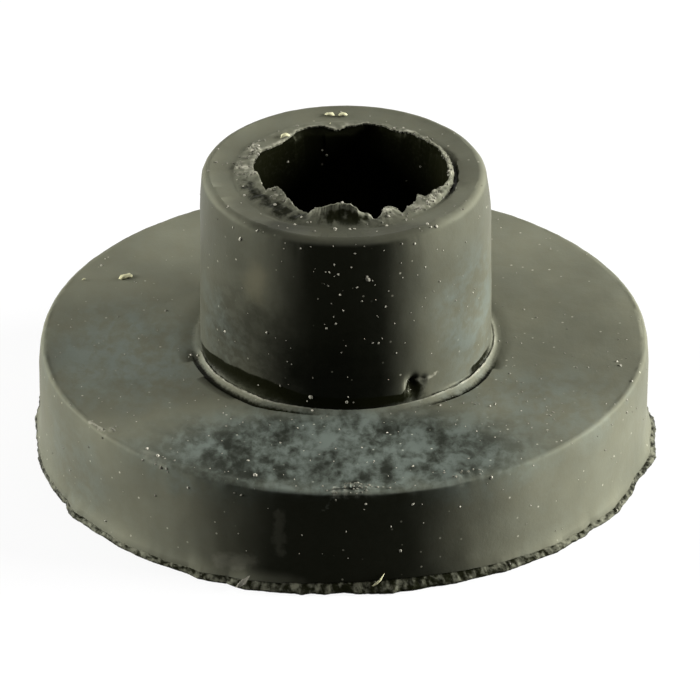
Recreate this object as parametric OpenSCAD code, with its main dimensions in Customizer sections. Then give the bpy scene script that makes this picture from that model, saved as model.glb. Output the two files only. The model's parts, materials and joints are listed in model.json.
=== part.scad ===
// Flanged rubber bushing: a thick round flange, a short straight neck and one bore right through,
// moulded in one shot of black rubber. Two traces of the mould are part of its shape: the torn web
// of skin round the bore's upper mouth, and the ragged flash round the flange's lower edge.
// Millimetres. The base stands on z = 0, and the bore's axis is the Z axis.

/* [Flange] */
// Outside diameter of the flange above its flash
flange_d = 32; // [26:0.25:48]
// Thickness of the flange
flange_t = 5.75; // [3:0.05:12]
// Radius on the flange's upper outer edge
flange_edge_r = 0.3; // [0.1:0.05:1]

/* [Neck] */
// Outside diameter of the neck, the part that presses into the panel
neck_d = 15.1; // [14:0.1:20]
// Height of the neck above the flange
neck_h = 9.9; // [4:0.05:25]
// Radius on the neck's upper outer edge
neck_edge_r = 0.5; // [0.1:0.05:0.8]
// How far the neck's top sinks from its rounded edge in to the bore's mouth
top_dish = 0.15; // [0:0.05:0.4]
// Radius of the fillet where the neck stands on the flange
foot_fillet_r = 0.55; // [0.2:0.05:1.2]
// Width of the fine parting groove that rings the fillet
groove_w = 0.24; // [0.1:0.02:0.5]

/* [Bore] */
// Diameter of the straight bore
bore_d = 10.3; // [6:0.1:10.8]
// Bevel round the bore's upper mouth, from which the skin tore away
mouth_bevel = 0.5; // [0.35:0.05:0.7]

/* [Torn skin at the bore's mouth] */
// Thickness of the skin
skin_t = 0.2; // [0.12:0.02:0.4]
// How far the skin overhangs the bore between its flaps
skin_reach = 0.15; // [0:0.01:0.4]
// How far the skin's opening sits off the bore's axis
skin_shift = 0.3; // [0:0.02:0.4]
// Depth of the fine tears along the skin's edge
skin_tear = 0.1; // [0:0.02:0.2]

/* [Flash at the base] */
// How far the flash stands out from the flange
flash_w = 0.42; // [0.3:0.02:0.8]
// Depth of the fine tears along the flash's edge
flash_tear = 0.07; // [0:0.01:0.15]
// Thickness of the flash's lower ply, at its torn edge
flash_edge_t = 0.3; // [0.15:0.05:0.6]
// Thickness of the flash at its root, both plies together
flash_root_t = 0.6; // [0.3:0.05:1.2]

/* [Hidden] */
rubber = "#2b2c29";
$fn = 96;

flange_r = flange_d / 2;
neck_r = neck_d / 2;
bore_r = bore_d / 2;
neck_top = flange_t + neck_h;
mouth_z = neck_top - top_dish;
groove_r = groove_w / 2;
mouth_r = bore_r + mouth_bevel;
// Steps round each torn edge, and the seeds of the tears along them
skin_steps = 120;
skin_seed = 7;
flash_steps = 216;
flash_lower_seed = 11;
flash_upper_seed = 23;
// Depth to which the skin is rooted in the bevel, as a share of the bevel
skin_root_share = 0.8;
// Depth to which the flash is rooted in the flange
flash_root_depth = 0.5;
// Share of its overhang at which the flash's upper ply stops
flash_upper_share = 0.5;
// How far a cutting solid runs past what it cuts
past = 1;

// Flaps and bites that the tearing left on the skin: [direction, spread (degrees), reach, lift]
skin_flaps = [
    [252, 6, 0.22, 0.32], [267, 6, 0.50, 0.90], [276, 4, 0.28, 0.34], [299, 4, 0.58, 0.10],
    [318, 5, 0.28, 0.08], [325, 3, 0.34, 0.06], [335, 5, 0.16, 0.16], [350, 9, -0.14, 0.22],
    [12, 14, -0.10, 0.28], [36, 9, -0.20, 0.04], [74, 7, -0.30, 0], [95, 4, 0.30, -0.04],
    [111, 8, -0.38, 0], [138, 8, 0.10, -0.04], [156, 10, -0.20, 0.02], [190, 9, 0.18, 0.10],
    [214, 8, 0.66, 0.14], [228, 7, 0.36, 0.10]
];

// Lobes and bites along the flash: [direction, spread (degrees), share of the overhang added]
flash_lobes = [
    [172, 5, 0.15], [184, 9, -0.48], [200, 8, -0.28], [212, 4, 0.45], [228, 6, 0.12],
    [243, 3, 0.45], [252, 4, 0.60], [260, 5, 0.30], [270, 3, -0.45], [279, 4, 0.30],
    [291, 8, -0.22], [310, 5, 0.10], [322, 2, -0.45], [341, 4, -0.60], [351, 4, 0.40],
    [367, 4, -0.55], [40, 11, -0.20], [75, 9, 0.15], [120, 12, -0.15]
];

function total(v) = v * [for (x = v) 1];
// One smooth hump of height 1, centred on a direction
function hump(a, centre, spread) =
    let (off = (a - centre + 540) % 360 - 180) exp(-pow(off / spread, 2));
// Sum of one column of a list of humps, at one direction
function humps(list, column, a) = total([for (h = list) h[column] * hump(a, h[0], h[1])]);
// A point of a cross-section, swung round to a direction
function swing(a, r, z) = [r * cos(a), r * sin(a), z];

// A step of the turned outline: a rectangle from the axis out, its upper outer corner rounded
module rounded_step(r, z, h, edge_r) {
    translate([0, z]) {
        square([r - edge_r, h]);
        square([r, h - edge_r]);
        translate([r - edge_r, h - edge_r]) circle(edge_r);
    }
}

// Concave quarter round between the neck and the flange's top
module foot_fillet() {
    translate([neck_r, flange_t]) difference() {
        translate([-foot_fillet_r, -foot_fillet_r]) square(2 * foot_fillet_r);
        translate([foot_fillet_r, foot_fillet_r]) circle(foot_fillet_r);
    }
}

// Half section of the hole: a straight wall, the bevel at its upper mouth, and the shallow dish of
// the neck's top
module bore_section() {
    square([bore_r, neck_top]);
    polygon([
        [0, mouth_z - mouth_bevel],
        [bore_r, mouth_z - mouth_bevel],
        [mouth_r, mouth_z],
        [neck_r - neck_edge_r, neck_top],
        [0, neck_top]
    ]);
}

// Flange, neck and fillet, less the bore and the groove, turned about the bore's axis
module turned_body() {
    rotate_extrude() difference() {
        union() {
            rounded_step(flange_r, 0, flange_t, flange_edge_r);
            rounded_step(neck_r, 0, neck_top, neck_edge_r);
            foot_fillet();
        }
        bore_section();
        translate([neck_r + foot_fillet_r + groove_r, flange_t]) circle(groove_r);
    }
}

// Closed ring lofted through cross-sections with the same number of points each
module ring_loft(sections) {
    n = len(sections);
    m = len(sections[0]);
    polyhedron(
        points = [for (s = sections) each s],
        faces = [
            for (i = [0 : n - 1], j = [0 : m - 1])
                let (next = (i + 1) % n, up = (j + 1) % m)
                each [
                    [i * m + j, i * m + up, next * m + up],
                    [i * m + j, next * m + up, next * m + j]
                ]
        ]
    );
}

// Cross-section of the torn skin at one direction, from its root in the rubber to its free edge
function skin_section(a, tear) =
    let (
        reach = skin_reach - skin_shift * cos(a) + humps(skin_flaps, 2, a) + skin_tear * tear,
        lift = humps(skin_flaps, 3, a),
        edge_r = min(bore_r - reach, mouth_r - skin_t / 2)
    ) [
        swing(a, mouth_r + skin_t, mouth_z - skin_t),
        swing(a, mouth_r, mouth_z + skin_t / 2),
        swing(a, edge_r, mouth_z + lift + skin_t / 2),
        swing(a, edge_r, mouth_z + lift - skin_t / 2),
        swing(a, (bore_r + mouth_r) / 2, mouth_z - skin_root_share * mouth_bevel)
    ];

// Web of skin that closed the bore in the mould, torn out along a ragged line
module torn_skin() {
    tears = rands(-1, 1, skin_steps, skin_seed);
    ring_loft([
        for (i = [0 : skin_steps - 1]) skin_section(360 * i / skin_steps, tears[i])
    ]);
}

// One ply of the flash: a disc whose torn edge wanders about a given overhang
module flash_ply(overhang, thickness, seed) {
    tears = rands(-1, 1, flash_steps, seed);
    linear_extrude(thickness) polygon([
        for (i = [0 : flash_steps - 1])
            let (
                a = 360 * i / flash_steps,
                r = flange_r + overhang * (1 + humps(flash_lobes, 2, a)) + flash_tear * tears[i]
            )
            [r * cos(a), r * sin(a)]
    ]);
}

// Flash squeezed out along the parting line at the base, thick at its root and ragged at its edge
module base_flash() {
    difference() {
        union() {
            flash_ply(flash_w, flash_edge_t, flash_lower_seed);
            flash_ply(flash_w * flash_upper_share, flash_root_t, flash_upper_seed);
        }
        translate([0, 0, -past])
            cylinder(h = flash_root_t + 2 * past, r = flange_r - flash_root_depth);
    }
}

// The whole moulding
module bushing() {
    color(rubber) union() {
        turned_body();
        torn_skin();
        base_flash();
    }
}

bushing();
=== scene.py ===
import json
import math

import bpy
from mathutils import Matrix, Vector, noise
from mathutils.bvhtree import BVHTree


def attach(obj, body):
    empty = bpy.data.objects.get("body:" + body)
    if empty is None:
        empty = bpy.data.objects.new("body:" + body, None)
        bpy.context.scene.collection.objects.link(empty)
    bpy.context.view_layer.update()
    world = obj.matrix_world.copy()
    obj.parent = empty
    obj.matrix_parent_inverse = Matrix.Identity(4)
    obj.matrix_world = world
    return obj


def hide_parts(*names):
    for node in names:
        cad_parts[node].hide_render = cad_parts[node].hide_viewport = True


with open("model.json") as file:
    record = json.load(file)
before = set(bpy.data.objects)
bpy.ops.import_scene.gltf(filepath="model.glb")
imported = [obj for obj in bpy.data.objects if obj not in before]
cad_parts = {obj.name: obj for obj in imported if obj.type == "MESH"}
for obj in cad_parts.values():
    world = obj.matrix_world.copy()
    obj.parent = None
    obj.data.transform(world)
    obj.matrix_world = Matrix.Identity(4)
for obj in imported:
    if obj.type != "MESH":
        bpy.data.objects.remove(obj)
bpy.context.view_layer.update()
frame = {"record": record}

# The moulding stands on its flange with the bore's axis on Z. Sizes below are in millimetres and
# directions in degrees, seen from above: 0 is +X (right), 270 is -Y (front).
MM = 0.001
MOUNTS = {m["name"]: m for m in frame["record"]["mounts"]}
BORE_R = MOUNTS["bore"]["dims"]["r_mm"]
NECK_R = MOUNTS["neck"]["dims"]["r_mm"]
FLANGE_T = MOUNTS["shoulder"]["pos_m"][2] / MM

# -------- sizes of the moulding
FLANGE_R = 16.0
FLANGE_EDGE_R = 0.25
NECK_TOP = FLANGE_T + 9.9
NECK_EDGE_R = 0.45
DISH = 0.15              # the neck's top sinks this much from its rounded edge to the mouth
MOUTH_Z = NECK_TOP - DISH
BEVEL = 0.5
MOUTH_R = BORE_R + BEVEL
BEAD_W = 0.18            # low bead round the neck's foot
GROOVE_W = 0.36          # fine groove outside it
GROOVE_D = 0.16
FOOT_W = 1.05            # from the neck's wall to where the flange is flat
SKIN_T = 0.2
SKIN_EDGE_T = 0.13
GOUGE = (296.7, 6.78)    # direction and height of the gouge at the neck's foot
NICK = (301, 6.95)       # and of the shallow nick beside it

# Steps round a ring: coarse where the form is plain, fine along the torn edges
COARSE, MIDDLE, FINE = 360, 720, 1440

# Edge of the torn skin: (direction, overhang inwards from the bore's wall, lift above the mouth)
TORN_EDGE = [
    (6.7, -0.26, 0.3), (15.7, -0.22, 0.26), (24.4, -0.36, 0.16), (31.5, -0.51, 0.08),
    (37.6, -0.55, 0.03), (43.8, -0.38, 0.02), (49.2, -0.33, 0.02), (56.5, -0.2, 0.03),
    (63, -0.2, 0.04), (69.6, -0.33, 0.02), (75.4, -0.36, 0), (80.7, -0.2, 0), (85.1, -0.05, 0),
    (89.1, 0.04, -0.02), (92.1, 0.25, -0.02), (95.3, 0.34, -0.05), (99.2, 0.12, 0),
    (102.4, -0.07, 0.02), (109.3, -0.14, 0.02), (113.5, -0.16, 0), (119.1, -0.05, 0),
    (126.1, 0.23, -0.04), (134.7, 0.44, -0.05), (143.6, 0.39, 0), (149.8, 0.24, 0.02),
    (159.5, 0.23, 0.05), (169.6, 0.34, 0.16), (178.8, 0.4, 0.12), (185.2, 0.59, 0.28),
    (189.9, 0.65, 0.32), (197.6, 0.61, 0.22), (204.1, 0.58, 0.14), (208.3, 0.62, 0.16),
    (208.9, 0.97, 0.22), (209.9, 1.12, 0.3), (217.2, 1.09, 0.32), (226.1, 0.86, 0.28),
    (232.3, 0.71, 0.2), (237.2, 0.62, 0.08), (243.1, 0.41, 0.05), (246.9, 0.45, 0.07),
    (248.3, 0.51, 0.19), (251.9, 0.43, 0.46), (257.8, 0.38, 0.6), (261, 0.38, 0.72),
    (262.9, 0.42, 0.76), (266.1, 0.52, 0.82), (268.8, 0.58, 0.8), (271.6, 0.5, 0.8),
    (274.3, 0.45, 0.8), (276.7, 0.36, 0.68), (278.8, 0.26, 0.48), (282.5, 0.31, 0.28),
    (285.9, 0.22, 0.12), (287.1, 0.03, 0.03), (291.8, 0.12, 0.02), (296, 0.54, 0.2),
    (301.7, 0.6, 0.24), (303.8, 0.42, 0.18), (304.8, -0.1, 0.02), (309.4, 0.09, 0.03),
    (315.9, 0.24, 0.05), (319.3, 0.23, 0.14), (324.5, 0.47, 0.26), (326.1, 0.09, 0.1),
    (329.2, -0.04, 0.12), (335.6, 0.08, 0.16), (340.4, -0.14, 0.16), (343.7, -0.31, 0.2),
    (349.3, -0.43, 0.28), (357.7, -0.32, 0.3)
]

# Tones of the torn skin, light where crumbly lobes of it stand up and darker at the front-left; the three
# darkest, at the front, are painted shade on the upright flap's face: (x, y, spread, lightness)
SKIN_TONES_AND_SHADE = [
    (-4.95, 3.2, 0.3, 0.45), (-4.8, 2.6, 0.4, 0.6), (-4.4, 2, 0.28, 0.4),
    (-5.5, 0.8, 0.35, 0.5), (-5.2, 0.2, 0.4, 0.45), (-4.75, -0.6, 0.32, 0.6),
    (-5, -1.3, 0.7, -0.35), (-4.7, -2.1, 0.75, -0.4), (-4.3, -3, 0.8, -0.45),
    (-3.7, -3.8, 0.8, -0.45), (-3.1, -4.3, 0.7, -0.45), (-2.5, -4.5, 0.6, -0.45),
    (-5.2, -2.2, 0.2, 0.8), (-4.45, -3.1, 0.22, 1), (-3.85, -3.95, 0.22, 1),
    (-3.85, -2.25, 0.3, 0.9), (-3.45, -2.8, 0.32, 0.8), (-3.05, -3.4, 0.28, 0.7),
    (-1.65, -4.35, 0.35, 0.3), (-0.8, -5, 0.5, -0.9), (0.05, -4.9, 0.65, -1.1),
    (0.85, -5.1, 0.5, -0.95), (3.4, 4.2, 0.4, 0.4), (4.1, 3.6, 0.3, 0.4), (2, -4.5, 0.3, 0.45),
    (2.4, -4.3, 0.3, 0.5),
    (3.8, -3.7, 0.4, 0.45), (4.35, -2.9, 0.35, 0.5), (4.9, -2.3, 0.35, 0.45)
]

# Burrs on the flange's top edge, torn and crumbly: (direction, half width in degrees, height)
BURRS = [(271.2, 3.6, 0.2), (293, 1.5, 0.14), (218.6, 1, 0.1), (296.5, 0.7, 0.08)]

# Edge of the flash: (direction, overhang beyond the flange's wall)
FLASH_EDGE = [
    (4, 0.34), (6, 0.18), (9, 0.21), (13, 0.36), (20, 0.3), (35, 0.26), (52, 0.36), (66, 0.44),
    (85, 0.3), (100, 0.26), (118, 0.38), (135, 0.28), (150, 0.36), (160, 0.3), (168, 0.54),
    (171, 0.38), (176, 0.38), (180, 0.23), (186, 0.22), (192, 0.34), (202, 0.34), (206, 0.38),
    (207, 0.29), (210, 0.59), (212, 0.68), (214, 0.54), (219, 0.51), (221, 0.46), (226, 0.56),
    (232, 0.52), (238, 0.48), (240.5, 0.49), (243, 0.7), (246, 0.64), (248.5, 0.55), (252, 0.79),
    (255, 0.7), (261, 0.62), (262.3, 0.69), (264, 0.45), (266.5, 0.57), (268, 0.43), (270, 0.3),
    (272, 0.48), (274, 0.47), (278.5, 0.62), (280, 0.49), (282, 0.52), (285, 0.39), (290, 0.44),
    (294, 0.38), (298, 0.43), (300, 0.53), (304, 0.45), (309, 0.46), (311.5, 0.56), (316, 0.41),
    (319, 0.48), (322, 0.29), (324, 0.45), (329.5, 0.53), (332, 0.41), (336, 0.38), (340, 0.21),
    (342, 0.21), (344, 0.32), (348, 0.52), (350, 0.6), (352, 0.5), (355, 0.35), (360, 0.41)
]

# Bare band of rubber above the neck's foot: (direction, height above the flange, how bare)
BARE_BAND = [
    (0, 0.34, 0), (90, 0.45, 0.5), (180, 0.4, 0.2), (187, 0.42, 0.5), (191.6, 0.46, 0.9),
    (199.5, 0.66, 1), (206.8, 0.9, 1), (214.8, 1, 1), (224.3, 1.14, 1), (237, 1.11, 1),
    (243.9, 1, 1), (252.4, 0.77, 1), (260.5, 0.74, 1), (284, 0.67, 1), (292.4, 0.65, 1),
    (294.5, 0.95, 1), (298.5, 1.1, 0.9), (301, 0.9, 0.5), (304, 0.6, 0), (326, 0.38, 0),
    (329.4, 0.4, 0.9), (333.5, 0.44, 1), (338.5, 0.45, 1), (343.4, 0.43, 0.9), (351, 0.36, 0.2)
]

# The neck's foot: (direction, bead's middle and groove's middle out from the wall, how high the
# bead stands, how light its crest is painted as a highlight, how deep the groove is and so how dark
# its painted shade is)
FOOT = [
    (20, 0.12, 0.45, 0.2, 0.1, 0.1), (90, 0.12, 0.45, 0.2, 0.1, 0.3), (165, 0.05, 0.38, 0, 0, 0.1),
    (188, 0.05, 0.42, 0, 0, 0.1), (194, 0.09, 0.5, 0.5, 0.3, 0.4), (200, 0.16, 0.58, 0.9, 0.4, 0.7),
    (207, 0.23, 0.62, 0.9, 0.42, 0.9), (225, 0.23, 0.7, 1, 0.5, 1), (237, 0.27, 0.8, 1, 0.7, 1),
    (243, 0.23, 0.7, 0.8, 0.6, 0.9), (249, 0.14, 0.58, 0.6, 0.45, 0.7), (257, 0.06, 0.5, 0.4, 0.3, 0.5),
    (270, 0.02, 0.45, 0.25, 0.12, 0.1), (284, 0.03, 0.45, 0.25, 0.15, 0.1),
    (292, 0.04, 0.45, 0.35, 0.25, 0.2), (301, 0.07, 0.55, 0.6, 0.5, 0.25),
    (306, 0.1, 0.7, 0.8, 0.55, 0.6), (312, 0.14, 0.8, 0.9, 0.6, 0.8), (320, 0.2, 0.85, 1, 0.6, 0.9),
    (330, 0.2, 0.78, 1, 0.6, 0.9), (336, 0.17, 0.65, 1, 0.55, 0.5), (343, 0.16, 0.52, 0.9, 0.45, 0.2),
    (356, 0.15, 0.46, 0.6, 0.5, 0.1)
]

# Dust grains that stand out, each with its width: on the flange's top (x, y)
GRAINS_ON_FLANGE = [
    (-10.13, -11.42, 0.2), (-9.56, -12.13, 0.22), (-8.7, -12.6, 0.11), (-9.2, -12.4, 0.12),
    (4.96, -7.16, 0.14), (6.15, -6.96, 0.13), (6.77, -7.06, 0.15), (7.54, -7.27, 0.14),
    (7.8, -7.07, 0.13), (5.5, -7.3, 0.09), (-7.99, -1.9, 0.17), (-7.68, -1.9, 0.19),
    (-12.89, 7.56, 0.15), (14.38, -3.1, 0.18), (14.96, -4.65, 0.14), (14.23, -2.69, 0.13),
    (-1.66, -7.63, 0.2), (-4.57, -14.15, 0.24), (-4.94, -12.65, 0.15), (3.51, -13.29, 0.14),
    (1.52, -12.78, 0.12), (10.79, -7.9, 0.14), (10.63, -8.2, 0.13), (10.88, -8.71, 0.11),
    (5.1, -13.9, 0.13), (-2.4, -9.4, 0.12), (-3.3, -10.9, 0.13), (0.9, -11.4, 0.11), (2.2, -9.9, 0.12),
    (-6.1, -9.2, 0.12), (-12.6, -0.4, 0.1), (-11.9, 2.1, 0.13), (8.6, -3.9, 0.13), (10.1, 1.9, 0.12),
    (11.7, 0.7, 0.11), (-9.4, 2.7, 0.14)
]
# On the neck's wall (direction, height)
GRAINS_ON_NECK = [
    (215, 8.56, 0.15), (238.2, 9.71, 0.18), (279.4, 13.45, 0.24), (279, 13.6, 0.14),
    (267.7, 13.8, 0.13), (269.6, 11.68, 0.15), (271.5, 6.55, 0.14), (281, 9.7, 0.17),
    (283.4, 9.66, 0.15), (286.2, 11.74, 0.13), (266.2, 14.33, 0.14), (264.2, 13.9, 0.14),
    (275.1, 13.02, 0.12), (274.3, 14.97, 0.14), (293.6, 15.2, 0.15), (299.2, 15.03, 0.14),
    (256.9, 6.43, 0.24), (255.4, 6.15, 0.12), (270.9, 6.25, 0.17), (273.5, 6.22, 0.12),
    (262.9, 13.9, 0.1), (263.8, 13.1, 0.12), (268.4, 12.6, 0.13), (266.8, 10.9, 0.12),
    (265.9, 11.3, 0.1), (263.1, 10.6, 0.11), (268.9, 9.2, 0.12), (270.6, 9.6, 0.1),
    (247.2, 8.3, 0.11), (249, 8.2, 0.1), (276.9, 12.2, 0.1), (284.8, 9.9, 0.12),
    (259.8, 12.3, 0.1), (272.9, 14.2, 0.12), (290.6, 8.9, 0.11), (287.3, 7.4, 0.1),
    (224.4, 14.6, 0.24), (219.7, 15, 0.14), (245.6, 14.9, 0.12), (252.8, 15.1, 0.12),
    (310.2, 12.4, 0.12), (318.9, 10.8, 0.1), (244.1, 6.75, 0.14)
]
# On the flange's wall (direction, height)
GRAINS_ON_WALL = [
    (219.9, 0.91, 0.16), (280.2, 2.21, 0.17), (301, 0.65, 0.16), (282.6, 4.94, 0.16),
    (273.9, 5.16, 0.13), (250.7, 5.2, 0.18), (249.4, 5.24, 0.14), (278.5, 3.7, 0.12),
    (207.1, 1.96, 0.14), (329.2, 0.2, 0.2), (330.1, 5.1, 0.13), (336.4, 4.9, 0.14), (327.5, 3.9, 0.11),
    (342.2, 4.2, 0.12), (262.2, 3.2, 0.1), (291.7, 4.3, 0.11), (232.6, 3.7, 0.12), (239.9, 4.9, 0.12),
    (214.2, 4.4, 0.11), (306.7, 3.1, 0.1), (229.3, 5.58, 0.14), (235.1, 5.6, 0.13),
    (233.8, 5.56, 0.2), (235.3, 5.48, 0.12), (232.5, 5.6, 0.12), (229.4, 5.6, 0.13),
    (337.2, 5.6, 0.15), (298.2, 5.6, 0.2)
]
# On the neck's top and its torn skin (x, y, height above the mouth)
GRAINS_ON_RING = [
    (-4.24, 1.88, 0.1, 0.16), (-4.46, 2.45, 0.15, 0.2), (-4.46, 2.85, 0.12, 0.17),
    (-3.54, -3.54, 0.15, 0.18), (-0.45, -5.86, 0.05, 0.2), (0.32, -5.86, 0.05, 0.16),
    (0.55, -5.83, 0.05, 0.14), (4.28, -5.57, 0.1, 0.16), (4.84, -5.68, 0.1, 0.2),
    (4.5, -5.75, 0.1, 0.14), (2.17, -5.56, 0.08, 0.14), (-6.63, 1.04, 0.1, 0.15),
    (-6.06, 1.03, 0.08, 0.13), (-5.2, -1.52, 0.1, 0.14), (-5.15, -2.37, 0.1, 0.13),
    (-7.03, 0.08, 0.12, 0.14), (-4.6, -6.05, 0.12, 0.16), (-6.54, 2.43, 0.1, 0.14),
    (3.11, 4.86, 0.05, 0.16), (2.64, 4.75, 0.05, 0.16), (-4.9, -0.6, 0.15, 0.16),
    (-4.55, -0.9, 0.16, 0.2), (-4.2, -1.3, 0.15, 0.16), (-3.9, -2.2, 0.14, 0.16),
    (-2.2, -4.8, 0.08, 0.14), (-2.5, -5.4, 0.06, 0.15), (-1.5, -6.2, 0.04, 0.13),
    (3.2, -4.9, 0.12, 0.2), (3, -4.6, 0.14, 0.16), (2.3, -4.75, 0.16, 0.22),
    (3.9, -3.9, 0.15, 0.22), (4.3, -3.3, 0.16, 0.2), (4.7, -2.9, 0.18, 0.18),
    (-0.1, -4.4, 0.85, 0.18), (0.35, -4.6, 0.8, 0.13), (5.4, -0.3, 0.35, 0.14),
    (5.3, 1.4, 0.3, 0.13), (6.2, -3.9, 0.1, 0.12), (-2.9, -5.9, 0.07, 0.13)
]
# Down the bore (direction, height)
GRAINS_IN_BORE = [
    (102.6, 14.1, 0.13), (100, 13.8, 0.17), (102.7, 13.26, 0.12), (125.1, 13.9, 0.12),
    (51.4, 12.78, 0.11), (41.8, 13.9, 0.12)
]
# Dry slivers that have stuck to the rubber: the points that each follows, and its half width
HUSKS = [
    ([(-11.95, 6.08, 5.78), (-11.8, 6.16, 5.82), (-11.65, 6.2, 5.86), (-11.5, 6.3, 5.84),
      (-11.35, 6.38, 5.83), (-11.2, 6.45, 5.78)], 0.17),
    ([(-13.9, 5.95, 5.78), (-13.78, 6, 5.82), (-13.66, 6.06, 5.78)], 0.08),
    ([(-1, 6.2, 15.62), (-0.9, 6.15, 15.66), (-0.75, 6.1, 15.69), (-0.6, 6.12, 15.67),
      (-0.45, 6.05, 15.62)], 0.13),
    ([(-0.3, 6.08, 15.62), (-0.2, 6.1, 15.65), (-0.05, 6.16, 15.68), (0.1, 6.1, 15.66),
      (0.22, 6.14, 15.62)], 0.13),
    ([(-3.3, 3.72, 15.55), (-3.2, 3.82, 15.62), (-3.08, 3.88, 15.68), (-2.95, 3.9, 15.66),
      (-2.8, 4.1, 15.55)], 0.14),
    ([(-0.9, 5.35, 15.5), (-0.7, 5.3, 15.54), (-0.5, 5.28, 15.5)], 0.07),
]
SCRAP = [([(-5.62, -16.2, 0.3), (-5.4, -16.12, 0.4), (-5.2, -16, 0.52), (-4.85, -15.75, 0.75)], 0.12)]
FIBRE = [([(1.29, -16.15, 0.2), (1.5, -16.2, 0.42), (1.8, -16.12, 0.66), (2.07, -15.95, 1.03)], 0.05)]


# -------- objects and nodes
# Kinds of node and settings that come often; TIMES_PLUS is the first input times the second, plus
# the third
MATH, VECTOR, RANGE, MIX = "ShaderNodeMath", "ShaderNodeVectorMath", "ShaderNodeMapRange", "ShaderNodeMix"
TIMES = {"operation": "MULTIPLY"}
TIMES_PLUS = {"operation": "MULTIPLY_ADD"}
PLUS = {"operation": "ADD"}
MINUS = {"operation": "SUBTRACT"}
HIGHER = {"operation": "MAXIMUM"}
SMOOTH = {"interpolation_type": "SMOOTHSTEP"}
OF_COLOURS = {"data_type": "RGBA"}


def add_object(name, data):
    """Object with its data, put in the scene at the origin."""
    made = bpy.data.objects.new(name, data)
    bpy.context.scene.collection.objects.link(made)
    return made


def add_node(tree, kind, settings=None, inputs=None):
    """Adds a node, sets its properties, and sets or links its inputs. A node given as an input
    stands for its first output."""
    node = tree.nodes.new(kind)
    for key, value in (settings or {}).items():
        setattr(node, key, value)
    for key, value in (inputs or {}).items():
        if isinstance(value, bpy.types.Node):
            value = value.outputs[0]
        if isinstance(value, bpy.types.NodeSocket):
            tree.links.new(value, node.inputs[key])
        else:
            node.inputs[key].default_value = value
    return node


# -------- shape helpers
def blend(low, high, t):
    """Value between low and high, with t kept within 0 and 1."""
    return low + (high - low) * min(max(t, 0.0), 1.0)


def around(table, angle, column=1):
    """Value of a column of a table of directions, run straight from row to row round the circle."""
    angle %= 360
    rows = [(table[-1][0] - 360,) + tuple(table[-1][1:])] + table
    rows.append((table[0][0] + 360,) + tuple(table[0][1:]))
    for a, b in zip(rows, rows[1:]):
        if a[0] <= angle < b[0]:
            return blend(a[column], b[column], (angle - a[0]) / (b[0] - a[0]))
    return rows[-1][column]


def hump(angle, centre, spread):
    """Smooth hump of height 1 at a direction."""
    off = (angle - centre + 540) % 360 - 180
    return math.exp(-(off / spread) ** 2)


def on_wall(r, angle, z):
    """Point on a round wall at a direction and a height."""
    a = math.radians(angle)
    return r * math.cos(a), r * math.sin(a), z


def rough(angle, r, z, size, seed, octaves=3):
    """Fractal roughness of about -1 to 1, with features of a given size on the surface."""
    a = math.radians(angle)
    place = Vector((r * math.cos(a), r * math.sin(a), z)) / size + Vector((seed, 2.3 * seed, seed))
    return noise.fractal(place, 0.8, 2.0, octaves)


def foot_shift(z):
    """How far the neck's centre stands to the right at a height."""
    return blend(0.09, 0.02, (z - 13.0) / 2.6)


def spot(angle, z, centre, wide, high):
    """Soft spot of height 1 on a wall: centre is its direction and height, its size is in degrees
    and millimetres."""
    off = (angle - centre[0] + 540) % 360 - 180
    return math.exp(-(off / wide) ** 2 - ((z - centre[1]) / high) ** 2)


def neck_radius(angle, z):
    """Radius of the neck's wall: a slight draft, drawn in near the top, waved, and gouged once."""
    down = (NECK_TOP - z) / (NECK_TOP - FLANGE_T)
    drawn = 0.13 * blend(0, 1, (z - 13.0) / 2.2) ** 2
    wave = 0.025 * rough(angle, NECK_R, z, 2.6, 4)
    gouge = 0.45 * spot(angle, z, GOUGE, 2.2, 0.42) + 0.12 * spot(angle, z, NICK, 2.0, 0.2)
    return NECK_R + 0.08 * down - drawn + wave - gouge


def flange_radius(angle, z):
    """Radius of the flange's wall: drawn in under its top edge, slimmer at the right, waved."""
    drawn = 0.12 * max(0.0, (z - 4.7) / 0.8) ** 2
    slim = 0.15 * hump(angle, 0, 45) * (1 - z / FLANGE_T)
    return FLANGE_R - drawn - slim + 0.03 * rough(angle, FLANGE_R, z, 4.0, 9)


def dished(r):
    """Height of the neck's top at a radius."""
    return blend(MOUTH_Z, NECK_TOP, (r - MOUTH_R) / (NECK_R - NECK_EDGE_R - MOUTH_R))


def burr(angle, r):
    """Height of the crumbly burrs on the flange's top edge."""
    lumps = max(0.0, 1 + 1.6 * rough(angle, r, 0, 0.45, 57, 2))
    ridge = math.exp(-((r - 15.45) / 0.4) ** 2)
    return lumps * ridge * sum(high * hump(angle, centre, wide) for centre, wide, high in BURRS)


def burr_dust(r):
    """Dust of a row through the burrs: light on their lumps, bare in their hollows."""
    def dust(angle):
        return min(0.32, 1.8 * burr(angle, r)) * (0.6 + 1.8 * rough(angle, r, 0, 0.4, 59, 2))
    return dust


def skin_tone_and_shade(angle, r):
    """Lightness of the torn skin at a point of it, with painted shade on the flap at the front."""
    x, y, _ = on_wall(r, angle, 0)
    tone = 0.0
    for there_x, there_y, spread, light in SKIN_TONES_AND_SHADE:
        tone += light * math.exp(-((x - there_x) ** 2 + (y - there_y) ** 2) / spread ** 2)
    return tone


def plain(angle):
    """Dust of a row that has its share and no more."""
    return 0.0


def bare(angle):
    """Dust of a row of clean rubber."""
    return -1.0
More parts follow.
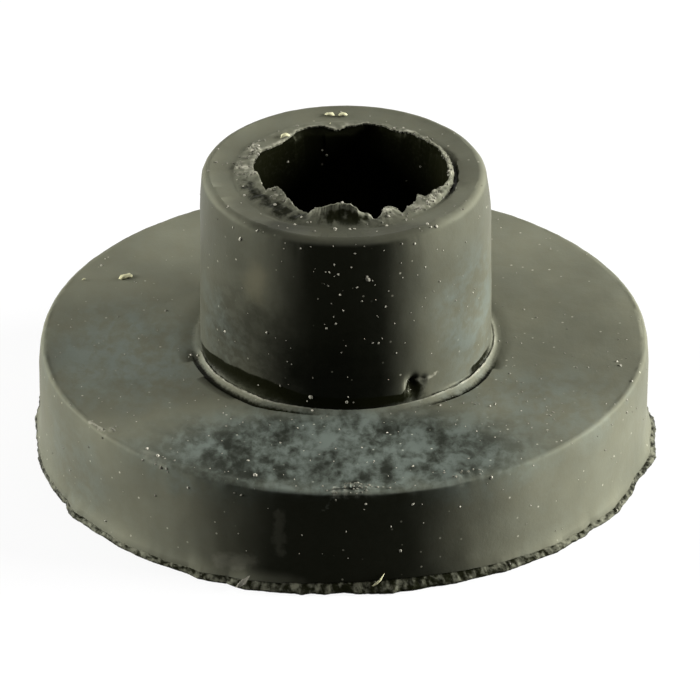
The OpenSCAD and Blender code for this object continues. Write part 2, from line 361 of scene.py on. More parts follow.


# -------- rows of the moulding
# A row is its number of steps, its point (radius, height) at a direction, and its dust there:
# -1 is bare rubber, 0 the dust that lies all over, 1 a thick light line of it. The light line on the
# bead round the neck's foot is a painted highlight; the dark of the groove beside it, of the flash's
# step and of the torn flap at the front is painted shade.
def bore_rows():
    """The bore's wall, up from the base; it opens out where the mouth is torn wider than the bore."""
    def opening(out, z, size):
        def point(a):
            torn = max(0.0, -around(TORN_EDGE, a))
            return BORE_R + out * torn + 0.015 * rough(a, BORE_R, z, size, 8), z + 0.25 * min(0.4, torn)
        return point

    rows = [(COARSE, lambda a: (BORE_R + 0.1, 0.0), bare)]
    rows += [(COARSE, lambda a, z=z: (BORE_R, z), bare) for z in (0.15, 3.0, 6.0, 9.0, 11.5)]
    rows += [(COARSE, opening(0.35, 12.9, 2.0), bare), (MIDDLE, opening(0.62, 14.0, 1.5), bare)]
    rows += [(FINE, opening(0.85, 14.7, 1.0), bare), (FINE, opening(0.97, MOUTH_Z - BEVEL, 1.0), bare)]
    return rows


def root_radius(angle):
    """Radius of the line along which the torn skin hangs on the neck."""
    return MOUTH_R + 0.05 - 0.04 * hump(angle, 0, 42) - 0.12 * hump(angle, 90, 40)


def skin_line(angle, s):
    """Middle of the torn skin at a share s of the way from its root to its torn edge."""
    lift = around(TORN_EDGE, angle, 2)
    wild = 1 - 0.7 * hump(angle, 130, 45)
    tear = 0.05 * rough(angle, BORE_R, 0, 0.5, 21, 4) + 0.03 * rough(angle, BORE_R, 0, 0.15, 33, 3)
    root_r = root_radius(angle)
    edge_r = min(BORE_R - around(TORN_EDGE, angle, 1) - wild * tear, root_r - 0.1)
    upright = blend(0, 1, (lift - 0.3) / 0.4)
    r = blend(root_r, edge_r, s ** (1 - 0.45 * upright))
    crumple = 0.10 * rough(angle, r, 0, 0.5, 12, 2) * min(1.0, 2 * s) * wild
    lumps = 0.2 * max(0.0, skin_tone_and_shade(angle, r)) * (0.7 + 1.3 * rough(angle, r, 0, 0.36, 13, 2))
    return r, MOUTH_Z + lift * s ** 1.7 + crumple + min(1.0, 4 * s) * max(0.0, lumps)


def skin_rows():
    """Torn skin: its underside from the bevel out to the edge, and its top back to the neck."""
    def face(s, side):
        def point(angle):
            r, z = skin_line(angle, s)
            ahead = skin_line(angle, min(s + 0.05, 1.0))
            behind = skin_line(angle, s - 0.05)
            slope = math.atan2(ahead[1] - behind[1], behind[0] - ahead[0])
            half = 0.5 * blend(SKIN_T, SKIN_EDGE_T, s) * side
            return r + half * math.sin(slope), z + half * math.cos(slope)

        def dust(angle):
            if side < 0:
                return -1.0
            r = skin_line(angle, s)[0]
            rim = blend(0, 1, (s - 0.72) / 0.16)
            tone = skin_tone_and_shade(angle, r) * (1 + 1.2 * rough(angle, r, 0, 0.4, 46, 2)) * (1 - 0.8 * rim)
            # The skin is made darker at the front-left
            darker_front_left = 0.25 * hump(angle, 218, 32)
            return 0.3 * rough(angle, r, 0, 0.45, 45, 2) + tone - darker_front_left + 0.25 * rim
        return FINE, point, dust

    def edge(side):
        def point(angle):
            r, z = skin_line(angle, 1.0)
            nick = 0.03 * rough(angle, BORE_R, side, 0.1, 41, 2)
            return r - 0.035 + nick, z + side * 0.3 * SKIN_EDGE_T
        return FINE, point, lambda a: 0.15 + 0.4 * rough(a, BORE_R, 0, 0.25, 47, 3)

    def shoulder(a):
        open_r = BORE_R + max(0.0, -around(TORN_EDGE, a))
        return max(root_radius(a) - 0.22, min(open_r, root_radius(a) - 0.08)), MOUTH_Z - 0.28

    rows = [(FINE, shoulder, bare)]
    rows += [face(s, -1) for s in (0.45, 0.8, 1.0)]
    rows += [edge(-1), edge(1)]
    rows += [face(s, 1) for s in (1.0, 0.88, 0.75, 0.6, 0.45, 0.3, 0.15)]
    return rows


def gutter(angle):
    """Depth of the gap where the skin has peeled away from the neck's top."""
    return 0.26 * hump(angle, 357, 19) + 0.05 * hump(angle, 288, 8) + 0.06 * hump(angle, 236, 10)


def top_rows():
    """The neck's dished top, from the skin's root out to the rounded edge."""
    def flat(out, depth=0.0):
        def point(a):
            r = root_radius(a) + out * (1 + 0.3 * rough(a, MOUTH_R, 0, 0.5, 17, 3))
            return r, dished(r) - depth * gutter(a) + 0.015 * rough(a, r, 0, 1.5, 15, 2)
        return point

    def sunk(a):
        return -min(1.0, 5 * gutter(a))

    rows = [(FINE, flat(0.06, 0.9), sunk), (FINE, flat(0.20, 1.0), sunk), (FINE, flat(0.30), plain)]
    rows.append((MIDDLE, flat(0.5), plain))
    rim = NECK_R - NECK_EDGE_R - 0.15
    rows.append((MIDDLE, lambda a: (rim, dished(rim) + 0.015 * rough(a, rim, 0, 1.5, 15, 2)), plain))
    return rows


def rounding(wall, top, edge_r, turns, lumps, dust):
    """Rows of a convex quarter round from a flat top over to a wall, with lumps on it."""
    def row(t):
        a = math.radians(90 * t)

        def point(angle):
            size = edge_r + lumps(angle, t)
            r = wall(angle, top - edge_r) - edge_r + size * math.sin(a)
            return r, top - edge_r + size * math.cos(a)
        return MIDDLE, point, dust
    return [row(i / turns) for i in range(turns + 1)]


def neck_rows():
    """The neck's rounded edge and its wall, down through the bare band to the foot."""
    rows = rounding(neck_radius, NECK_TOP, NECK_EDGE_R, 6,
                    lambda a, t: 0.008 * rough(a, NECK_R, t, 0.7, 51), plain)
    high, middle = NECK_TOP - NECK_EDGE_R, FLANGE_T + 1.9
    for i in range(1, 11):
        z = blend(high, middle, i / 10)
        rows.append((MIDDLE, lambda a, z=z: (neck_radius(a, z), z), plain))

    def band(share, dust):
        """Row at a share of the way from the foot to the wall above the band."""
        def point(a):
            edge = around(BARE_BAND, a) + 0.04 * rough(a, NECK_R, 0, 0.6, 63)
            z = FLANGE_T + (edge * share if share <= 1.1 else blend(edge, 1.9, share - 1))
            return neck_radius(a, z), z
        return MIDDLE, point, dust
    rows += [band(share, plain) for share in (1.85, 1.7, 1.55, 1.4, 1.25, 1.06)]
    rows += [band(share, lambda a: -around(BARE_BAND, a, 2)) for share in (0.96, 0.7, 0.4)]
    return rows


def foot_rows():
    """Low bead round the neck's foot, and the fine groove outside it; the bead's crest is painted light
    as a highlight, and the groove dark as shade.
    """
    def along(a, column):
        return around(FOOT, a, column)

    rows = []
    for share, up, light in ((-0.42, 0.75, -0.9), (-0.2, 0.97, -0.2), (0.0, 1.0, 1.0),
                             (0.25, 0.85, 0.7), (0.5, 0.3, 0.1)):
        def bead(a, share=share, up=up):
            grain = 1 + 0.3 * rough(a, NECK_R, share, 0.5, 67)
            out = max(along(a, 1) + BEAD_W * share, 0.012 * (share + 0.5))
            return neck_radius(a, FLANGE_T) + out, FLANGE_T + 0.13 * up * along(a, 3) * grain

        # A positive light paints a highlight along the bead's crest
        def dust(a, light=light):
            amount = along(a, 4) if light > 0 else along(a, 3)
            return amount * light * (0.85 + 0.4 * rough(a, NECK_R, 0, 0.7, 69))
        rows.append((MIDDLE, bead, dust))
    for share, depth in ((-0.45, 0.6), (-0.28, 1.0), (0.28, 1.0), (0.5, 0.0)):
        def groove(a, share=share, depth=depth):
            r = neck_radius(a, FLANGE_T) + along(a, 2) + GROOVE_W * share
            return r, FLANGE_T - GROOVE_D * depth * along(a, 5)

        # The groove's dark tone is painted shade, broken in places along the ring
        def dark_rubber_tone(a, depth=depth):
            worn = min(1.0, max(0.0, 0.9 + rough(a, NECK_R, 0, 1.6, 71)))
            return -1.3 * depth * along(a, 5) * worn
        rows.append((MIDDLE, groove, dark_rubber_tone))
    return rows


def flange_rows():
    """The flange's top, its upper edge and its wall down to the flash."""
    inner = NECK_R + FOOT_W + 0.35
    outer = FLANGE_R - FLANGE_EDGE_R - 0.15
    rows = []
    for r in [blend(inner, 14.7, i / 9) for i in range(10)] + [15.0, 15.15, 15.3, 15.45, outer]:
        def top(a, r=r):
            dome = 0.05 * max(0.0, (r - 14.0) / 2) ** 2
            return r, FLANGE_T - dome + 0.025 * rough(a, r, 0, 4.0, 71) + burr(a, r)
        rows.append((MIDDLE, top, burr_dust(r)))

    def lumps(angle, t):
        return 0.015 * rough(angle, FLANGE_R, t, 0.7, 51) + 0.5 * (1 - t) * burr(angle, outer + 0.2 * t)
    top_z = FLANGE_T - 0.04
    rows += rounding(flange_radius, top_z, FLANGE_EDGE_R, 5, lumps, burr_dust(outer))
    for share in (0.04, 0.2, 0.4, 0.6, 0.8, 1.0):
        z = blend(top_z - FLANGE_EDGE_R, 1.5, share)
        rows.append((MIDDLE, lambda a, z=z: (flange_radius(a, z), z), plain))
    return rows


def step_at(angle):
    """How much of a step parts the flash from the wall: it shows at the front alone."""
    return max(hump(angle, 279, 24), 0.5 * hump(angle, 262, 14))


def flared(angle, share):
    """Point a share of the way down the wall's foot, where it flares out into the flash."""
    low = 0.30 + 0.24 * step_at(angle) + 0.06 * rough(angle, FLANGE_R, 0, 1.6, 81, 4)
    z = blend(1.5, low, share)
    out = 0.66 * around(FLASH_EDGE, angle) * (1 - step_at(angle))
    return flange_radius(angle, z) + out * share ** 2.2, z


def flash_rows():
    """Foot of the wall, flared out to a thin ragged flash; a step parts them at the front, painted dark
    as shade.
    """
    def step(inward, down):
        def point(angle):
            r, z = flared(angle, 1.0)
            return r - inward * step_at(angle), z - down
        # The step's dark tone is painted shade under the wall
        return FINE, point, lambda a: -min(1.0, 1.2 * step_at(a) + 0.3 * rough(a, FLANGE_R, 0, 0.5, 83))

    def lip(share, height, grain):
        def point(angle):
            start, low = flared(angle, 1.0)
            start = blend(start, FLANGE_R, step_at(angle))
            out = around(FLASH_EDGE, angle) + 0.04 * rough(angle, FLANGE_R, 0, 0.7, 91, 4)
            ridge = rough(angle, FLANGE_R, 0.3 * height, 0.32, 95, 3)
            pit = rough(angle, FLANGE_R, 2 * height, 0.2, 99, 2)
            size = grain * (0.45 + 0.55 * step_at(angle))
            r = blend(start, FLANGE_R + out, share) + size * (ridge + 0.5 * pit)
            return r, max(0.0, height * (low - 0.03) + 0.3 * size * pit)

        def dust(angle):
            grit = rough(angle, FLANGE_R, 0.5 * height, 0.3, 97, 3)
            patchy = 0.25 * rough(angle, FLANGE_R, 0, 1.7, 93, 2)
            return min(0.2, 0.8 * grit - blend(0.62, 0.80, step_at(angle)) + patchy)
        return FINE, point, dust

    rows = [(MIDDLE, lambda a, t=i / 5: flared(a, t), plain) for i in range(1, 5)]
    rows.append((FINE, lambda a: flared(a, 1.0), plain))
    rows.append(step(0.12, 0.03))
    rows += [lip(0.2, 0.95, 0.06), lip(0.45, 0.78, 0.10), lip(0.7, 0.56, 0.11)]
    rows += [lip(0.95, 0.34, 0.10), lip(1.0, 0.14, 0.07), lip(0.9, 0.0, 0.03)]
    return rows


def base_rows():
    """The flat base, from the flash in to the bore."""
    rows = [(FINE, lambda a: (FLANGE_R - 0.3, 0.0), plain)]
    rows.append((MIDDLE, lambda a: (FLANGE_R - 0.9, 0.0), plain))
    rows += [(COARSE, lambda a, r=r: (r, 0.0), plain) for r in (14.0, 10.0, BORE_R + 0.6)]
    return rows


def loft(name, rows):
    """Closed mesh through rings of points; a ring may have twice or half its neighbour's steps."""
    verts, faces, starts, dust = [], [], [], []
    for steps, point, dusted in rows:
        starts.append(len(verts))
        for i in range(steps):
            angle = 360 * i / steps
            r, z = point(angle)
            a = math.radians(angle)
            x = r * math.cos(a) + (foot_shift(z) if z > FLANGE_T - 0.2 and r < NECK_R + 0.9 else 0)
            verts.append((x * MM, r * math.sin(a) * MM, z * MM))
            dust.append(min(max(dusted(angle), -1.0), 1.0))
    for k in range(len(rows)):
        near, far = rows[k][0], rows[(k + 1) % len(rows)][0]
        s, t = starts[k], starts[(k + 1) % len(rows)]
        for i in range(min(near, far)):
            if near == far:
                j = (i + 1) % near
                faces.append((s + i, s + j, t + j, t + i))
            elif near < far:
                j, m = (i + 1) % near, 2 * i
                faces.append((s + i, t + m + 1, t + m))
                faces.append((s + i, s + j, t + m + 1))
                faces.append((s + j, t + (m + 2) % far, t + m + 1))
            else:
                j, m = (i + 1) % far, 2 * i
                faces.append((t + i, s + m, s + m + 1))
                faces.append((t + i, s + m + 1, t + j))
                faces.append((t + j, s + m + 1, s + (m + 2) % near))
    mesh = bpy.data.meshes.new(name)
    mesh.from_pydata(verts, [], faces)
    mesh.attributes.new("dust", "FLOAT", "POINT").data.foreach_set("value", dust)
    mesh.shade_smooth()
    mesh.set_sharp_from_angle(angle=math.radians(50))
    return add_object(name, mesh)


def moulding():
    """The whole bushing as one closed skin, ring after ring from the bore round to the base."""
    rows = bore_rows() + skin_rows() + top_rows() + neck_rows() + foot_rows()
    rows += flange_rows() + flash_rows() + base_rows()
    return loft("bushing_rubber", rows)


# -------- dust
def settled(piece):
    """Marks how thickly grains lie: most on the neck's top and front, none below or in the bore.
    Marks where crumbs of rubber hang too: on the torn skin, the burrs and a scuff at the left."""
    share, torn = [], []
    for vert in piece.data.vertices:
        x, y, z = (c / MM for c in vert.co)
        r = math.hypot(x, y)
        front = 0.5 - 0.5 * y / max(r, 0.1)
        if r < BORE_R + 0.3 or z < 0.3:
            share.append(0.0)
        elif z > NECK_TOP - 0.5:
            share.append(1.6 * front + 0.4)
        elif r < NECK_R + 0.2:
            share.append(front ** 3)
        else:
            flecked = 1.2 * math.exp(-((x - 9.5) ** 2 + (y + 7) ** 2) / 16)
            share.append(0.35 + 0.5 * front + flecked if z > FLANGE_T - 0.3 else 0.35)
        angle = math.degrees(math.atan2(y, x))
        if z > MOUTH_Z - 0.02 and r < MOUTH_R + 0.1:
            ragged = 0.35 * front + 0.3 * hump(angle, 0, 40) + 0.3 * hump(angle, 165, 18)
            torn.append(max(0.0, ragged + 1.2 * min(0.5, skin_tone_and_shade(angle, r))))
        elif r > 15 and z > FLANGE_T - 0.3:
            torn.append(min(1.0, 8 * burr(angle, r)))
        else:
            scuff = math.hypot(x + 9.75, y + 12.6)
            torn.append(0.25 * math.exp(-(scuff / 0.8) ** 2) if z > FLANGE_T - 0.3 and r > 12 else 0.0)
    piece.data.attributes.new("grit", "FLOAT", "POINT").data.foreach_set("value", share)
    piece.data.attributes.new("torn", "FLOAT", "POINT").data.foreach_set("value", torn)


def grain_tree(name, share_of=None):
    """Geometry nodes that strew small lumps over a surface by an attribute of it, or without one
    put them on points that have their own width."""
    tree = bpy.data.node_groups.new(name, "GeometryNodeTree")
    for socket, kind in (("Base", "NodeSocketGeometry"), ("Grains per square metre", "NodeSocketFloat"),
                         ("Grain width", "NodeSocketFloat"), ("Seed", "NodeSocketInt"),
                         ("Finish", "NodeSocketMaterial")):
        tree.interface.new_socket(socket, in_out="INPUT", socket_type=kind)
    tree.interface.new_socket("Grains", in_out="OUTPUT", socket_type="NodeSocketGeometry")
    given = add_node(tree, "NodeGroupInput").outputs
    listed = add_node(tree, "GeometryNodeInputNamedAttribute", {"data_type": "FLOAT"}, {
        "Name": share_of or "width"})
    if share_of:
        count = add_node(tree, MATH, TIMES, {0: listed, 1: given["Grains per square metre"]})
        points = add_node(tree, "GeometryNodeDistributePointsOnFaces", None, {
            "Mesh": given["Base"], "Density": count, "Seed": given["Seed"]})
        width = given["Grain width"]
    else:
        points = add_node(tree, "GeometryNodeMeshToPoints", None, {"Mesh": given["Base"]})
        width = listed
    lump = add_node(tree, "GeometryNodeMeshIcoSphere", None, {"Radius": 0.5, "Subdivisions": 1})
    odd = add_node(tree, "FunctionNodeRandomValue", {"data_type": "FLOAT_VECTOR"}, {
        0: (0.55, 0.55, 0.55), 1: (1.25, 1.25, 1.25), "Seed": given["Seed"]})
    size = add_node(tree, VECTOR, {"operation": "SCALE"}, {0: odd, "Scale": width})
    turn = add_node(tree, "FunctionNodeRandomValue", {"data_type": "FLOAT_VECTOR"}, {
        0: (0.0, 0.0, 0.0), 1: (math.tau, math.tau, math.tau), "Seed": given["Seed"]})
    grains = add_node(tree, "GeometryNodeInstanceOnPoints", None, {
        "Points": points, "Instance": lump, "Rotation": turn, "Scale": size})
    solid = add_node(tree, "GeometryNodeRealizeInstances", None, {"Geometry": grains})
    done = add_node(tree, "GeometryNodeSetMaterial", None, {
        "Geometry": solid, "Material": given["Finish"]})
    add_node(tree, "NodeGroupOutput", None, {"Grains": done})
    return tree


def grown(name, base, tree, values):
    """Plain mesh of what a node tree makes from a base mesh, with its inputs given by name."""
    source = add_object(name + "_source", base)
    maker = source.modifiers.new("grains", "NODES")
    maker.node_group = tree
    for item in tree.interface.items_tree:
        if item.in_out == "INPUT" and item.name in values:
            maker[item.identifier] = values[item.name]
    bpy.context.view_layer.update()
    made = source.evaluated_get(bpy.context.evaluated_depsgraph_get())
    piece = add_object(name, bpy.data.meshes.new_from_object(made))
    source.modifiers.remove(maker)
    bpy.data.objects.remove(source)
    return piece


def point_mesh(name, grains):
    """Loose points, each with the width of its grain; both in millimetres."""
    mesh = bpy.data.meshes.new(name)
    mesh.from_pydata([Vector(place) * MM for place, _ in grains], [], [])
    widths = [width * MM for _, width in grains]
    mesh.attributes.new("width", "FLOAT", "POINT").data.foreach_set("value", widths)
    return mesh


def placed_grains(piece):
    """Every grain that stands out, as the nearest point on the rubber and a width. Those of the
    flange's wall start half a millimetre outside it, so that none is drawn to the base."""
    grains = [((x, y, FLANGE_T), w) for x, y, w in GRAINS_ON_FLANGE]
    grains += [(on_wall(NECK_R, a, z), w) for a, z, w in GRAINS_ON_NECK]
    grains += [(on_wall(FLANGE_R + 0.5, a, z), w) for a, z, w in GRAINS_ON_WALL]
    grains += [((x, y, MOUTH_Z + up), w) for x, y, up, w in GRAINS_ON_RING]
    grains += [(on_wall(BORE_R, a, z), w) for a, z, w in GRAINS_IN_BORE]
    verts = [vert.co / MM for vert in piece.data.vertices]
    surface = BVHTree.FromPolygons(verts, [face.vertices for face in piece.data.polygons])
    return [(surface.find_nearest(Vector(place))[0], w) for place, w in grains]


def slivers(name, runs):
    """Flat slivers stuck to the rubber, each through a run of points and tapered at both ends."""
    verts, faces = [], []
    for run, half in runs:
        spine = [Vector(place) * MM for place in run]
        middle = spine[len(spine) // 2]
        lying = middle.z > FLANGE_T * MM
        outward = Vector((0, 0, 1)) if lying else Vector((middle.x, middle.y, 0)).normalized()
        first, sides, rings = len(verts), 6, len(spine) - 2
        verts.append(spine[0])
        for i in range(1, rings + 1):
            ahead = (spine[i + 1] - spine[i - 1]).normalized()
            across = ahead.cross(outward).normalized()
            up = across.cross(ahead)
            for k in range(sides):
                a = math.tau * k / sides
                out = math.cos(a) * across + 0.6 * math.sin(a) * up
                lumpy = 1 + 0.8 * noise.noise(1.7 * out + 9 * spine[i] / MM)
                verts.append(spine[i] + half * lumpy * MM * out)
        verts.append(spine[-1])
        last = first + 1 + (rings - 1) * sides
        for k in range(sides):
            j = (k + 1) % sides
            faces.append((first, first + 1 + j, first + 1 + k))
            for low in range(first + 1, last, sides):
                faces.append((low + k, low + j, low + sides + j, low + sides + k))
            faces.append((last + k, last + j, last + sides))
    mesh = bpy.data.meshes.new(name)
    mesh.from_pydata(verts, [], faces)
    mesh.shade_smooth()
    return add_object(name, mesh)


# -------- nodes and materials
# The rubber's marks are in millimetres. Patches of bloom: (strength, centre, half sizes)
# A cloudy patch of the flange's top in front of the neck, with thinner haze and bloom: (centre, half
# sizes)
FRONT_PATCH = ((-0.3, -11.8, 5.8), (9.5, 4.2, 2.0))
BLOOM = [
    (1.0, (-11.5, -2.0, 5.8), (3.5, 5.0, 1.5)),
    (0.6, (9.5, -7.0, 5.8), (5.0, 3.5, 1.5)),
    (1.0, on_wall(NECK_R, 332, 9.5), (2.4, 3.0, 3.5)),
    (0.7, on_wall(NECK_R, 206, 8.5), (2.4, 2.0, 2.0)),
    (0.5, on_wall(FLANGE_R, 208, 2.5), (2.2, 3.2, 2.2))
]
# Haze that lies thicker or thinner on what faces up, with one painted shadow: (change, centre, half
# sizes, softness). The third, on the neck's top at the front-left, is painted shadow of the lifted skin's
# lip
HAZE_AND_SHADOW_CHANGES = [
    (0.11, (-12, 1.5, 5.8), (4.0, 6.5, 1.5), 0.5), (-0.38, (0.4, -6.5, 15.6), (6.0, 1.7, 1.2), 0.4),
    (-0.2, (-4.2, -4.4, 15.6), (2.4, 1.9, 1.2), 0.5), (0.14, (6.8, -1.0, 15.6), (1.6, 3.5, 1.2), 0.4)
]
# Scuffs that chalk the rubber: (strength, start, end, width)
SCUFFS = [
    (0.11, on_wall(FLANGE_R, 257.9, 2.1), on_wall(FLANGE_R, 257.9, 4.4), 0.45),
    (0.14, on_wall(FLANGE_R, 246.5, 1.0), on_wall(FLANGE_R, 252.4, 1.3), 0.6),
    (0.12, on_wall(FLANGE_R, 268.2, 5.6), on_wall(FLANGE_R, 266.0, 4.7), 0.14),
    (0.10, on_wall(15.5, 229, FLANGE_T), on_wall(15.9, 234, FLANGE_T), 0.5),
    (0.35, (-13.15, -8.6, FLANGE_T), (-12.3, -9.6, FLANGE_T), 0.14),
    (0.3, on_wall(NECK_R, 294.5, 6.95), on_wall(NECK_R, 308.3, 7.0), 0.22)
]
# Painted highlight along the gouge's rim: (strength, start, end, width)
GOUGE_RIM_HIGHLIGHT = (0.22, on_wall(NECK_R, 294.1, 6.2), on_wall(NECK_R, 294.1, 7.6), 0.12)
# Noise in the finish: (size of its clouds in mm, detail, roughness, distortion)
CLOUDS = {
    "crumbs": (0.17, 3.0, 0.7, 0.0), "bloom": (1.6, 5.0, 0.55, 0.4), "mottle": (0.45, 4.0, 0.6, 0.3),
    "film": (4.5, 2.5, 0.5, 0.0), "peel": (0.9, 3.0, 0.55, 0.0), "grain": (0.16, 3.0, 0.7, 0.0)
}


def linear(code):
    """Linear colour of an sRGB hex code."""
    parts = [int(code[i:i + 2], 16) / 255 for i in (1, 3, 5)]
    return [c / 12.92 if c <= 0.04045 else ((c + 0.055) / 1.055) ** 2.4 for c in parts] + [1.0]


def empty_tree(owner):
    """Node tree of a material or a world, with nothing in it yet."""
    owner.use_nodes = True
    owner.node_tree.nodes.clear()
    return owner.node_tree


def new_material(name):
    """Empty material with a shader on its output; gives back the material, its tree and the shader."""
    mat = bpy.data.materials.new(name)
    tree = empty_tree(mat)
    shader = add_node(tree, "ShaderNodeBsdfPrincipled")
    add_node(tree, "ShaderNodeOutputMaterial", None, {"Surface": shader})
    return mat, tree, shader


def strayed(tree, coords, size, reach):
    """Coordinates pushed about in clouds of a size, so that the masks on them fray."""
    stray = add_node(tree, "ShaderNodeTexNoise", None, {
        "Vector": coords, "Scale": 1 / (size * MM), "Detail": 3.0, "Roughness": 0.55})
    stray = add_node(tree, VECTOR, MINUS, {0: stray.outputs["Color"], 1: (0.5, 0.5, 0.5)})
    stray = add_node(tree, VECTOR, TIMES_PLUS, {
        0: stray, 1: Vector((reach, reach, reach)) * MM, 2: coords})
    return stray.outputs[0]


def patch(tree, coords, centre, size, soft=0.5, strength=1.0):
    """Mask of an ellipsoid, 0 outside and its strength inside; centre and half sizes in millimetres."""
    moved = add_node(tree, VECTOR, MINUS, {0: coords, 1: Vector(centre) * MM})
    scaled = add_node(tree, VECTOR, {"operation": "DIVIDE"}, {0: moved, 1: Vector(size) * MM})
    reach = add_node(tree, VECTOR, {"operation": "LENGTH"}, {0: scaled})
    return add_node(tree, RANGE, SMOOTH, {
        "Value": reach.outputs["Value"], "From Min": 1 + soft, "From Max": 1 - soft, "To Max": strength})


def streak(tree, coords, strength, start, end, width):
    """Mask of a soft streak between two points, of a width in millimetres."""
    begin, run = Vector(start) * MM, (Vector(end) - Vector(start)) * MM
    away = add_node(tree, VECTOR, MINUS, {0: coords, 1: begin})
    share = add_node(tree, VECTOR, {"operation": "DOT_PRODUCT"}, {0: away, 1: run / run.length_squared})
    share = add_node(tree, "ShaderNodeClamp", None, {"Value": share.outputs["Value"]})
    nearest = add_node(tree, VECTOR, {"operation": "SCALE"}, {0: run, "Scale": share})
    gap = add_node(tree, VECTOR, {"operation": "DISTANCE"}, {0: away, 1: nearest})
    return add_node(tree, RANGE, SMOOTH, {
        "Value": gap.outputs["Value"], "From Min": width * MM, "From Max": 0.2 * width * MM,
        "To Max": strength})


def dust_specks(tree, coords):
    """Mask of specks about 0.1 mm across, on three cells in ten of half a millimetre."""
    cells = add_node(tree, "ShaderNodeTexVoronoi", None, {"Vector": coords, "Scale": 1 / (0.5 * MM)})
    picks = add_node(tree, "ShaderNodeSeparateColor", None, {0: cells.outputs["Color"]}).outputs
    specks = add_node(tree, RANGE, SMOOTH, {
        "Value": cells.outputs["Distance"], "From Min": 0.15, "From Max": 0.08})
    chosen = add_node(tree, RANGE, SMOOTH, {"Value": picks[0], "From Min": 0.70, "From Max": 0.74})
    strength = add_node(tree, MATH, TIMES_PLUS, {0: picks[1], 1: 0.45, 2: 0.05})
    for factor in (chosen, strength):
        specks = add_node(tree, MATH, TIMES, {0: specks, 1: factor})
    return specks


